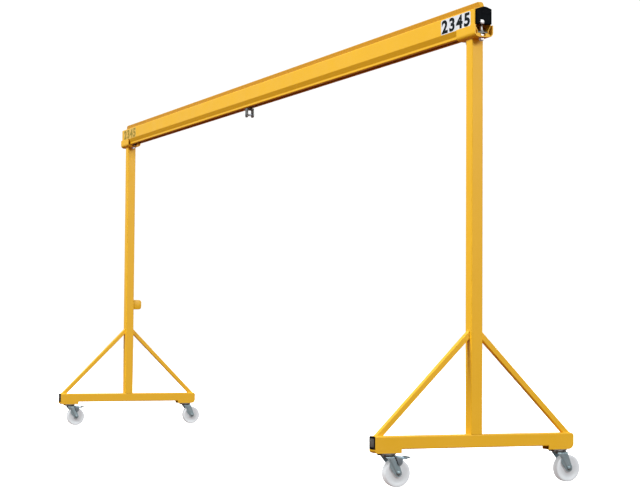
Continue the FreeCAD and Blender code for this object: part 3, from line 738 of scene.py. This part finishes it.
def makeCasterPlate(name, body):
    sizes = casterSizes
    low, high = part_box(f"caster_plate_{name}")
    centre = (low + high) / 2
    bottom = high.z - sizes["plateThickness"]
    bm = bmesh.new()
    addBox(bm, (low.x, low.y, bottom), (high.x, high.y, high.z))
    uprights = [e for e in bm.edges if abs(e.verts[0].co.z - e.verts[1].co.z) > 0.001]
    bevelEdges(bm, uprights, sizes["plateCorner"], 4)
    insetX, insetY = sizes["boltInset"]
    across = sizes["boltAcross"]
    washerLow = bottom - sizes["boltWasher"]
    for x in (low.x + insetX, high.x - insetX):
        for y in (low.y + insetY, high.y - insetY):
            addRod(bm, (x, y, washerLow), (x, y, bottom), across * sizes["washerShare"], edge=0.0003)
            addHex(bm, (x, y, washerLow - sizes["boltHead"]), (x, y, washerLow), across)
    radius, waist, height = (sizes[k] for k in ("raceRadius", "raceWaist", "raceHeight"))
    profile = [(0.0, 0.0), (radius - 0.004, 0.0), (radius - 0.001, 0.0015), (radius, 0.003), (waist, 0.0045),
               (waist, 0.0055), (radius, 0.0065), (radius - 0.0005, height), (0.0, height)]
    x, y = centre.x, centre.y
    addLathe(bm, profile, (x, y, bottom - height), (0, 0, 1))
    addRod(bm, (x, y, low.z), (x, y, bottom - height), sizes["kingPin"])
    addHex(bm, (x, y, low.z), (x, y, low.z + sizes["kingNut"]), sizes["kingNutAcross"])
    finishPiece(
        f"topPlate_{name}", bm, "darkSteel", body, [f"caster_plate_{name}"], bevel=0.0006)


def tangentPoint(start, centre, radius, turn):  # where a line from start touches the foot's circle
    offset = start - centre
    angle = math.atan2(offset.y, offset.x) - turn * math.acos(radius / offset.length)
    return centre + radius * Vector((math.cos(angle), math.sin(angle)))


def softStep(value, low, high):
    share = min(1.0, max(0.0, (value - low) / (high - low)))
    return share * share * (3 - 2 * share)


def alongEdge(z, points):  # Y of a cheek's edge at height z; points run from the top down
    for (upperZ, upperY), (lowerZ, lowerY) in zip(points, points[1:]):
        if z >= lowerZ:
            share = 0.0 if upperZ == lowerZ else (upperZ - z) / (upperZ - lowerZ)
            return upperY + (lowerY - upperY) * min(1.0, max(0.0, share))
    return points[-1][1]


def cheekEdge(corners, axle, turn):  # corners, then a tangent and the arc under the axle
    radius, steps = casterSizes["footRadius"], casterSizes["footSteps"]
    foot = tangentPoint(Vector(corners[-1]), axle, radius, turn)
    points = [(z, y) for y, z in corners] + [(foot.y, foot.x)]
    start = math.atan2(foot.y - axle.y, foot.x - axle.x)
    end = -math.pi / 2 if turn > 0 else math.pi * 1.5
    if turn < 0 and start <= 0:
        start += math.tau
    for i in range(1, steps + 1):
        angle = start + (end - start) * i / steps
        points.append((axle.y + radius * math.sin(angle), axle.x + radius * math.cos(angle)))
    return points


def forkSection(bottom, top):  # (x, z) points of the bent plate, from one cheek over to the other
    half, bend, step, bendSteps = (casterSizes[k] for k in ("forkHalf", "forkBend", "gridStep", "bendSteps"))
    count = round((top - bend - bottom) / step)
    section = [(-half, bottom + (top - bend - bottom) * i / count) for i in range(count + 1)]
    for i in range(1, bendSteps + 1):
        angle = math.pi - math.pi / 2 * i / bendSteps
        section.append((-half + bend + bend * math.cos(angle), top - bend + bend * math.sin(angle)))
    flatCount = round((half - bend) / step)
    section += [(-half + bend + (half - bend) * i / flatCount, top) for i in range(1, flatCount + 1)]
    return section + [(-x, z) for x, z in reversed(section[:-1])]


def makeFork(name, body):
    sizes = casterSizes
    low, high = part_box(f"caster_fork_{name}")
    pivot = Vector(((low.x + high.x) / 2, low.y + sizes["crownFront"]))
    axle = Vector((pivot.y + sizes["trail"], middleOf(f"caster_wheel_{name}").z))
    front, back = pivot.y - sizes["crownFront"], pivot.y + sizes["crownBack"]
    top = high.z
    frontCorners = [(front, top), (front, top - sizes["frontShoulder"])]
    frontCorners += [(pivot.y + along, top - drop) for along, drop in sizes["frontWaist"]]
    frontEdge = cheekEdge(frontCorners, axle, -1)
    backEdge = cheekEdge([(back, top), (back, top - sizes["backShoulder"])], axle, 1)
    bm = bmesh.new()
    section = [(pivot.x + x, 0, z) for x, z in forkSection(low.z, top)]
    verts, edges = addProfile(bm, section, closed=False)
    rows = sizes["gridRows"]
    for i in range(rows):
        verts, edges = extrudeEdges(bm, edges, (0, 1 / rows, 0))
    ribTop = Vector((pivot.y + sizes["ribTop"][0], top - sizes["ribTop"][1]))
    line = axle - ribTop
    ribHalf = sizes["ribHalf"]
    for vert in bm.verts:
        first, last = alongEdge(vert.co.z, frontEdge), alongEdge(vert.co.z, backEdge)
        vert.co.y = first + (last - first) * vert.co.y
        side = vert.co.x - pivot.x
        if abs(side) > sizes["forkHalf"] - 0.001:  # pressed rib of each cheek
            spot = Vector((vert.co.y, vert.co.z))
            share = min(1.0, max(0.0, (spot - ribTop).dot(line) / line.length_squared))
            away = (spot - ribTop - line * share).length
            raised = 1 - softStep(away, ribHalf * sizes["ribFlat"], ribHalf)
            vert.co.x += math.copysign(sizes["rib"] * raised, side)
    bmesh.ops.remove_doubles(bm, verts=bm.verts, dist=1e-5)
    bmesh.ops.recalc_face_normals(bm, faces=bm.faces)
    outward = sum(f.normal.z for f in bm.faces if f.calc_center_median().z > top - 0.002)
    if outward < 0:
        bmesh.ops.reverse_faces(bm, faces=bm.faces)
    bmesh.ops.solidify(bm, geom=bm.faces[:], thickness=sizes["forkThickness"])
    finishPiece(
        f"forkPressing_{name}", bm, "pressedSteel", body, [f"caster_fork_{name}"], bevel=0.0005)


def makeAxle(name, body):
    sizes = casterSizes
    low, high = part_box(f"caster_axle_{name}")
    centre = (low + high) / 2
    y, z = centre.y, centre.z
    across = sizes["axleAcross"]
    outer = high.x - centre.x - 0.001
    bm = bmesh.new()
    addRod(bm, (centre.x - outer, y, z), (centre.x + outer, y, z), sizes["axle"])
    for sign in (-1, 1):
        cheek = centre.x + sign * (sizes["forkHalf"] + sizes["rib"])
        nutLow = cheek + sign * sizes["axleWasher"]
        washerRadius = across * sizes["washerShare"]
        addRod(bm, (cheek - sign * 0.0003, y, z), (nutLow, y, z), washerRadius, edge=0.0002)
        addHex(bm, (nutLow, y, z), (centre.x + sign * outer, y, z), across)
    addRod(bm, (high.x - 0.001, y, z), (high.x, y, z), sizes["boltEnd"], edge=0.0004)  # end through its nut
    finishPiece(f"axleBolt_{name}", bm, "pressedSteel", body, [f"caster_axle_{name}"])


wheelSizes = {
    "half": 0.024, "shoulder": 0.006, "shoulderSteps": 4, "crown": 0.0004, "rim": 0.060, "web": 0.0205,
    "hub": 0.025, "hubHalf": 0.027, "bore": 0.0062, "sleeve": 0.0145, "sleeveDepth": 0.0012,
    "treadStart": 0.007, "treadEnd": 0.001, "paintedGlowStart": 0.38,
}


def makeWheel(name, body):
    sizes = wheelSizes
    low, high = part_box(f"caster_wheel_{name}")
    centre = (low + high) / 2
    radius = (high.z - low.z) / 2
    half, shoulder, rim, web = sizes["half"], sizes["shoulder"], sizes["rim"], sizes["web"]
    hub, hubHalf, bore = sizes["hub"], sizes["hubHalf"], sizes["bore"]
    side = [(bore, hubHalf - 0.0015), (bore + 0.0012, hubHalf), (hub - 0.0025, hubHalf),
            (hub, hubHalf - 0.0025), (hub + 0.001, web + 0.0022), (hub + 0.004, web + 0.0005),
            (hub + 0.010, web), (rim - 0.016, web), (rim - 0.008, web + 0.0008),
            (rim - 0.002, half - 0.0008), (rim + 0.003, half)]
    steps = sizes["shoulderSteps"]
    for i in range(steps + 1):
        angle = math.pi / 2 * i / steps
        away = radius - sizes["crown"] - shoulder * (1 - math.sin(angle))
        side.append((away, half - shoulder * (1 - math.cos(angle))))
    side.append((radius, 0.0))
    profile = side + [(r, -along) for r, along in reversed(side[:-1])]
    bm = bmesh.new()
    addLathe(bm, profile + profile[:1], tuple(centre), (1, 0, 0), segments=72)
    piece = finishPiece(f"wheelBody_{name}", bm, "nylon", body, [f"caster_wheel_{name}"])
    # the rim zone is the mask of the painted glow, brighter toward the wheel's rim
    zones = {"tread": (radius - sizes["treadStart"], radius - sizes["treadEnd"]),
             "rim": (radius * sizes["paintedGlowStart"], radius)}
    for attribute, (start, end) in zones.items():
        shares = piece.data.attributes.new(attribute, "FLOAT", "POINT")
        for vert in piece.data.vertices:
            away = math.hypot(vert.co.y - centre.y, vert.co.z - centre.z)
            shares.data[vert.index].value = softStep(away, start, end)
    bm = bmesh.new()
    outer, depth = sizes["sleeve"], sizes["sleeveDepth"]
    proud = depth + 0.0007
    profile = [(bore, 0.0), (outer, 0.0), (outer, depth), (outer - 0.001, proud), (bore, proud), (bore, 0.0)]
    for sign in (-1, 1):  # steel sleeve ends in the hub
        start = (centre.x + sign * (hubHalf - depth), centre.y, centre.z)
        addLathe(bm, profile, start, (sign, 0, 0), segments=40)
    finishPiece(f"wheelSleeve_{name}", bm, "pressedSteel", body)


pedalSizes = {
    "thickness": 0.003, "ears": 0.0395, "earInner": 0.0365, "boss": 0.007, "bossInner": 0.0318,
    "earRadius": 0.008, "earSteps": 10, "treadStart": 0.020, "armDepth": 0.006, "tipRound": 0.002,
    "top": [(0.038, 0.001), (0.054, -0.008), (0.083, 0.000)],
    "foot": [(0.037, -0.014), (0.034, -0.036), (0.024, -0.048), (0.010, -0.040)],
    "gripBars": 4, "gripInset": 0.004, "gripHalf": 0.002, "gripRise": 0.0008, "gripWide": 0.030,
}


def pedalEar(sizes):  # outline of an ear: round the pin, along the arm, down to the foot
    radius, depth, cut, steps = (sizes[k] for k in ("earRadius", "armDepth", "tipRound", "earSteps"))
    angles = [math.radians(270 - 180 * i / steps) for i in range(steps + 1)]
    tipAlong, tipRise = sizes["top"][-1]
    bendAlong, bendRise = sizes["top"][1]
    tip = [(tipAlong - cut * 0.75, tipRise), (tipAlong, tipRise - cut),
           (tipAlong, tipRise - depth + cut), (tipAlong - cut * 0.75, tipRise - depth)]
    arc = [(radius * math.cos(a), radius * math.sin(a)) for a in angles]
    return arc + sizes["top"][:-1] + tip + [(bendAlong, bendRise - depth)] + sizes["foot"]


def makePedal(side, body):
    sizes = pedalSizes
    x, y, z = middleOf(f"pedal_pin_{side}")
    ears = sizes["ears"]

    def addAcross(outline, start, end, edge=0.0):  # outline: (along, rise) from the pin
        addPlate(bm, [(y + along, z + rise) for along, rise in outline], start, end, edge=edge)

    bm = bmesh.new()
    for sign in (-1, 1):
        inner = x + sign * sizes["earInner"]
        start, end = sorted((inner, x + sign * ears))
        addAcross(pedalEar(sizes), start, end, edge=0.0006)
        addRod(bm, (x + sign * sizes["bossInner"], y, z), (inner, y, z), sizes["boss"])
    (kneeAlong, kneeRise), (bendAlong, bendRise), (tipAlong, tipRise) = sizes["top"]
    start, radius = sizes["treadStart"], sizes["earRadius"]
    slope = (kneeRise - radius) / kneeAlong
    upper = [(start, radius + slope * start)] + sizes["top"]
    tread = upper + [(along, rise - sizes["thickness"]) for along, rise in reversed(upper)]
    addAcross(tread, x - ears, x + ears, edge=0.0008)
    slope = (tipRise - bendRise) / (tipAlong - bendAlong)
    inset, half, lift = (sizes[k] for k in ("gripInset", "gripHalf", "gripRise"))
    for i in range(sizes["gripBars"]):
        along = bendAlong + inset + (tipAlong - bendAlong - 2 * inset) * i / (sizes["gripBars"] - 1)
        rise = bendRise + slope * (along - bendAlong)
        bar = [(along - half, rise - 0.0005), (along - half / 2, rise + lift),
               (along + half / 2, rise + lift), (along + half, rise - 0.0005)]
        addAcross(bar, x - sizes["gripWide"], x + sizes["gripWide"])
    finishPiece(f"brakePedal_{side}", bm, "pedalSteel", body, [f"caster_pedal_{side}_front"])


for side in sides:
    for end in ends:
        name = f"{side}_{end}"
        makeCasterPlate(name, "frame")
        makeFork(name, f"swivel_{name}")
        makeAxle(name, f"swivel_{name}")
        makeWheel(name, f"wheel_{name}")
    makePedal(side, f"pedal_{side}")
print("casters made")


# plastic caps

frameSizes = {"railEnd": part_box("rail_beam")[1].x, "railFloor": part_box("rail_beam")[0].z}
railCapSizes = {
    "round": 0.0025, "recess": 0.0012, "recessSlope": 0.0015, "rimWidth": 0.007, "shoulderDrop": 0.004,
    "ridge": 0.0095, "ridgeRise": 0.0095, "railHalf": 0.05, "gap": 0.0003,
    "plug": 0.018, "plugHalf": 0.040, "plugLow": 0.006, "plugHigh": 0.080,
}


def makeRailCap(side, sign):
    sizes = railCapSizes
    low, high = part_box(f"rail_end_cap_{side}")
    flangeIn = sign * (frameSizes["railEnd"] + sizes["gap"])
    face = high.x if sign > 0 else low.x
    half, ridge = high.y, sizes["ridge"]
    slope = sizes["ridgeRise"] / (sizes["railHalf"] - ridge)
    shoulder = high.z - slope * (half - ridge) - sizes["shoulderDrop"]
    outline = [(-half, low.z), (half, low.z), (half, shoulder),
               (ridge, high.z), (-ridge, high.z), (-half, shoulder)]
    bm = bmesh.new()
    start, end = sorted((flangeIn, face))
    addPlate(bm, outline, start, end, edge=sizes["round"], segments=3)
    outer = [f for f in bm.faces
             if abs(f.normal.x) > 0.99 and abs(f.calc_center_median().x - face) < 0.0005]
    largest = max(outer, key=lambda f: f.calc_area())
    bmesh.ops.inset_region(bm, faces=[largest], thickness=sizes["rimWidth"])
    bmesh.ops.inset_region(bm, faces=[largest], thickness=sizes["recessSlope"], depth=-sizes["recess"])
    start, end = sorted((sign * (frameSizes["railEnd"] - sizes["plug"]), flangeIn + sign * 0.001))
    addBox(bm, (start, -sizes["plugHalf"], low.z + sizes["plugLow"]),
           (end, sizes["plugHalf"], low.z + sizes["plugHigh"]), edge=0.002)
    finishPiece(f"railCap_{side}", bm, "blackPlastic", "frame", [f"rail_end_cap_{side}"])


baseCapSizes = {
    "corner": 0.006, "edge": 0.0016, "rimWidth": 0.010, "recess": 0.0008, "recessSlope": 0.001,
    "faceBorder": 0.012, "faceInset": 0.0002, "faceDepth": 0.002, "plugInset": 0.0035,
}


def makeBaseCap(side):
    sizes = baseCapSizes
    low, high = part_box(f"base_cap_{side}")
    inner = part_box(f"base_tube_{side}")[0].y
    bm = bmesh.new()
    addBox(bm, (low.x, low.y, low.z), (high.x, inner, high.z))
    long = [e for e in bm.edges if abs(e.verts[0].co.y - e.verts[1].co.y) > 0.001]
    bevelEdges(bm, long, sizes["corner"], 5)
    rim = [e for e in bm.edges
           if all(abs(v.co.y - low.y) < 1e-5 for v in e.verts) and e.calc_face_angle(0) > 0.5]
    bevelEdges(bm, rim, sizes["edge"], 3)
    face = min(bm.faces, key=lambda f: f.calc_center_median().y)
    bmesh.ops.inset_region(bm, faces=[face], thickness=sizes["rimWidth"])
    bmesh.ops.inset_region(bm, faces=[face], thickness=sizes["recessSlope"], depth=-sizes["recess"])
    inset = sizes["plugInset"]
    addBox(bm, (low.x + inset, inner - 0.0005, low.z + inset),
           (high.x - inset, high.y, high.z - inset), edge=0.002)
    finishPiece(f"baseCap_{side}", bm, "blackPlastic", "frame", [f"base_cap_{side}"])
    # a lighter grey plate in the cap's face, a painted sheen
    bm = bmesh.new()
    border = sizes["faceBorder"]
    addBox(bm, (low.x + border, low.y + sizes["faceInset"], low.z + border),
           (high.x - border, low.y + sizes["faceDepth"], high.z - border), edge=0.0004)
    finishPiece(f"baseCapPaintedSheen_{side}", bm, "paintedSheenPlastic", "frame")


for side, sign in sides.items():
    makeRailCap(side, sign)
    makeBaseCap(side)
print("caps made")


# rail bolts: clamp bolts under each saddle and the bolt through each cap

boltSizes = {
    "thread": 0.016, "pitch": 0.002, "across": 0.0253, "nut": 0.012, "head": 0.008, "washer": 0.0025,
    "washerRadius": 0.0164, "offset": 0.075, "clamp": 0.008, "clampHalf": 0.016, "clampWide": 0.029,
    "flange": 0.004, "plate": 0.006, "studTop": 0.048, "studRadius": 0.0068,
    "capBoltZ": 0.061, "capBoltY": -0.016, "capBoltAcross": 0.019, "capBoltRadius": 0.006,
    "capBoltDepth": 0.045, "capWasher": 0.0012, "capWasherSunk": 0.0014, "capWasherRadius": 0.0122,
}


def addThread(bm, x, bottom, top, radius, pitch):  # close rings, as a cut thread looks
    count = max(1, round((top - bottom) / pitch))
    profile = [(0.0, bottom), (radius * 0.8, bottom)]
    for i in range(count):
        z = bottom + (top - bottom) * (i + 0.5) / count
        profile += [(radius, z), (radius * 0.86, z + pitch * 0.45)]
    profile += [(radius * 0.86, top), (0.0, top)]
    addLathe(bm, [(r, z - bottom) for r, z in profile], (x, 0, bottom), (0, 0, 1), segments=20)


def addCapBolt(bm, side, sign, end):  # the bolt through the end cap, its head reaching out to end
    sizes = boltSizes
    y, z = sizes["capBoltY"], frameSizes["railFloor"] + sizes["capBoltZ"]
    capFace = sign * max(abs(c.x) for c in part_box(f"rail_end_cap_{side}"))
    washer = (capFace - sign * sizes["capWasherSunk"], capFace + sign * sizes["capWasher"])
    addRod(bm, (washer[0], y, z), (washer[1], y, z), sizes["capWasherRadius"], edge=0.0004)
    addHex(bm, (capFace + sign * 0.001, y, z), (end, y, z), sizes["capBoltAcross"], edge=0.0012)
    addRod(bm, (capFace - sign * sizes["capBoltDepth"], y, z), (capFace, y, z), sizes["capBoltRadius"])


def makeRailBolts(side, sign):
    sizes = boltSizes
    low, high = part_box(f"rail_bolts_{side}")
    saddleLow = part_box(f"saddle_{side}")[0].z
    middle = middleOf(f"column_{side}").x
    radius, across = sizes["thread"] / 2, sizes["across"]
    washerLow = saddleLow - sizes["washer"]
    nutLow = washerLow - sizes["nut"]
    plateTop = saddleLow + sizes["plate"]
    floorZ = frameSizes["railFloor"] + sizes["flange"]
    clampTop = floorZ + sizes["clamp"]
    bm = bmesh.new()
    clamps = bmesh.new()
    for x in (middle - sizes["offset"], middle + sizes["offset"]):
        addThread(bm, x, low.z, nutLow, radius, sizes["pitch"])
        addRod(bm, (x, 0, nutLow), (x, 0, floorZ), radius)
        addRod(bm, (x, 0, washerLow), (x, 0, saddleLow), sizes["washerRadius"], edge=0.0004)
        addHex(bm, (x, 0, nutLow), (x, 0, washerLow), across, edge=0.0012)
        addBox(clamps, (x - sizes["clampHalf"], -sizes["clampWide"], floorZ),
               (x + sizes["clampHalf"], sizes["clampWide"], clampTop), edge=0.001)
        addHex(clamps, (x, 0, clampTop), (x, 0, clampTop + sizes["head"]), across, edge=0.0012)
        addHex(bm, (x, 0, plateTop), (x, 0, plateTop + sizes["nut"]), across, edge=0.0012)
    addCapBolt(bm, side, sign, high.x if sign > 0 else low.x)
    studX = middle + sign * sizes["offset"]
    studTop = frameSizes["railFloor"] + sizes["studTop"]
    addRod(bm, (studX, 0, clampTop), (studX, 0, studTop), sizes["studRadius"], edge=0.0015)
    finishPiece(f"railBolts_{side}", bm, "brightZinc", "frame", [f"rail_bolts_{side}"])
    finishPiece(f"railClamps_{side}", clamps, "darkSteel", "frame")


for side, sign in sides.items():
    makeRailBolts(side, sign)
print("rail bolts made")


# trolley hanger

hangerSizes = {
    "half": 0.027, "cheek": 0.009, "bridge": 0.012, "footRound": 0.012, "pin": 0.008, "pinEdge": 0.018,
    "washerGap": 0.0003, "washer": 0.0015, "washerRadius": 0.0125, "nutAcross": 0.021,
}


def makeHanger():
    sizes = hangerSizes
    low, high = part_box("trolley_hanger")
    x = (low.x + high.x) / 2
    half, inner, bridgeLow = sizes["half"], sizes["half"] - sizes["cheek"], high.z - sizes["bridge"]
    outline = [(-half, low.z), (-half, high.z), (half, high.z), (half, low.z),
               (inner, low.z), (inner, bridgeLow), (-inner, bridgeLow), (-inner, low.z)]
    bm = bmesh.new()
    addPlate(bm, outline, low.x, high.x)
    feet = [e for e in bm.edges if all(abs(v.co.z - low.z) < 1e-5 for v in e.verts)
            and abs(e.verts[0].co.y - e.verts[1].co.y) > 0.001]
    bevelEdges(bm, feet, sizes["footRound"], 6)
    finishPiece("hangerFork", bm, "darkSteel", "trolley", ["trolley_hanger"], bevel=0.0012)
    bm = bmesh.new()
    outer, pinEnd = high.y, high.y - 0.001
    z = low.z + sizes["pinEdge"]
    washerIn = half + sizes["washerGap"]
    washerOut = washerIn + sizes["washer"]
    addRod(bm, (x, -pinEnd, z), (x, pinEnd, z), sizes["pin"], edge=0.0008)
    for sign in (-1, 1):
        addRod(bm, (x, sign * washerIn, z), (x, sign * washerOut, z), sizes["washerRadius"], edge=0.0003)
        addHex(bm, (x, sign * washerOut, z), (x, sign * outer, z), sizes["nutAcross"], edge=0.0008)
    finishPiece("hangerPin", bm, "zincPlate", "trolley")


makeHanger()
print("trolley made")


# labels on the rail

labelSizes = {
    "length": 0.345, "height": 0.084, "low": 0.0465, "thickness": 0.0003, "corner": 0.012, "outer": 3.170,
    "digits": "2345", "digitHeight": 0.077, "margin": 0.016, "bold": 0.04, "spread": 1.22,
    "depth": 0.0008, "inkProud": 0.0001, "inkDepth": 0.15,
    "looks": {"right": ("labelWhite", "labelInk"), "left": ("labelFaded", "inkFaded")},
}


def textMesh(sizes):  # the digits as a thin bmesh lying flat
    text = bpy.data.curves.new("labelText", "FONT")
    text.body = sizes["digits"]
    text.size = 1.0
    text.extrude = 0.001
    text.offset = sizes["bold"]
    text.space_character = sizes["spread"]
    holder = bpy.data.objects.new("textHolder", text)
    bpy.context.scene.collection.objects.link(holder)
    bpy.context.view_layer.update()
    mesh = bpy.data.meshes.new_from_object(holder.evaluated_get(bpy.context.evaluated_depsgraph_get()))
    bpy.data.objects.remove(holder)
    bm = bmesh.new()
    bm.from_mesh(mesh)
    bpy.data.meshes.remove(mesh)
    return bm


def makeLabel(side, sign):
    sizes = labelSizes
    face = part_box("rail_beam")[0].y - sizes["thickness"]
    outer = sign * sizes["outer"]
    plateLook, inkLook = sizes["looks"][side]
    low, high = sorted((outer, outer - sign * sizes["length"]))
    bottom = frameSizes["railFloor"] + sizes["low"]
    bm = bmesh.new()
    addBox(bm, (low, face, bottom), (high, face + sizes["depth"], bottom + sizes["height"]))
    corners = [e for e in bm.edges if abs(e.verts[0].co.y - e.verts[1].co.y) > 0.0002]
    bevelEdges(bm, corners, sizes["corner"], 4)
    finishPiece(f"label_{side}", bm, plateLook, "frame")
    bm = textMesh(sizes)
    spots = [v.co for v in bm.verts]
    left, right = min(c.x for c in spots), max(c.x for c in spots)
    base, top = min(c.y for c in spots), max(c.y for c in spots)
    wide = (sizes["length"] - sizes["margin"]) / (right - left)
    tall = sizes["digitHeight"] / (top - base)
    origin = Vector(((low + high) / 2, face - sizes["inkProud"], bottom + sizes["height"] / 2))
    for vert in bm.verts:  # stood upright on the rail's face
        x, y, z = vert.co
        across, rise = x - (left + right) / 2, y - (base + top) / 2
        vert.co = origin + Vector((across * wide, -z * sizes["inkDepth"], rise * tall))
    finishPiece(f"labelDigits_{side}", bm, inkLook, "frame", smooth=20)


for side, sign in sides.items():
    makeLabel(side, sign)
print("labels made")
